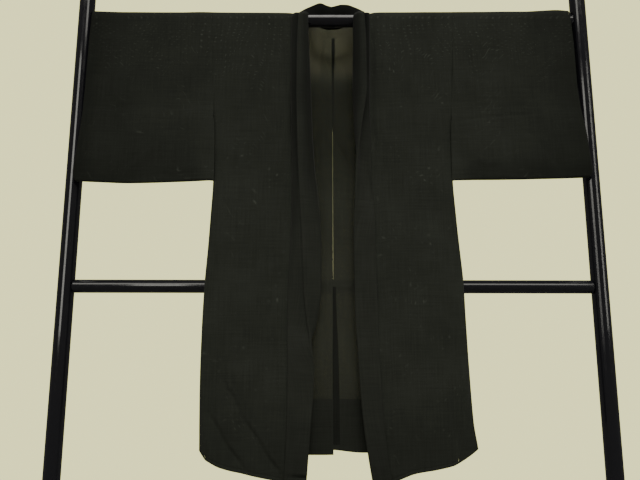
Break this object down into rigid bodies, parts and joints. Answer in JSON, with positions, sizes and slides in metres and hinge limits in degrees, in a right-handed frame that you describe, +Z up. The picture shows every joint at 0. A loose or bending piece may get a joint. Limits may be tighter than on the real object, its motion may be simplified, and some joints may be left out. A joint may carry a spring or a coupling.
{
  "type": "haori jacket on a kimono stand",
  "caption": "Sheer black open-front haori jacket with square sleeves, side gussets and folded collar, spread over the top rail of a black tubular kimono stand.",
  "frame": {"origin": "on the floor, midway between the two posts and the ends of their feet", "axes": "+Z up, +X towards the wearer's left along the rails, and the jacket's front faces -Y"},
  "size_m": [1.341, 0.46, 1.7028],
  "materials": {
    "gauze": "sheer open-weave black gauze, matt with a faint sheen",
    "doubled_gauze": "folded, doubled black gauze, nearly opaque",
    "tube": "high-gloss black enamel"
  },
  "bodies": {
    "root": {"front_left": "gauze", "front_right": "gauze", "back_left": "gauze", "back_right": "gauze", "gusset_left": "gauze", "gusset_right": "gauze", "sleeve_left_front": "gauze", "sleeve_left_back": "gauze", "sleeve_right_front": "gauze", "sleeve_right_back": "gauze", "collar_left": "doubled_gauze", "collar_right": "doubled_gauze", "back_hem_left": "doubled_gauze", "back_hem_right": "doubled_gauze", "front_hem_left": "doubled_gauze", "front_hem_right": "doubled_gauze", "post_left": "tube", "post_right": "tube", "rail_top": "tube", "rail_lower": "tube", "foot_left": "tube", "foot_right": "tube"}
  },
  "joints": []
}
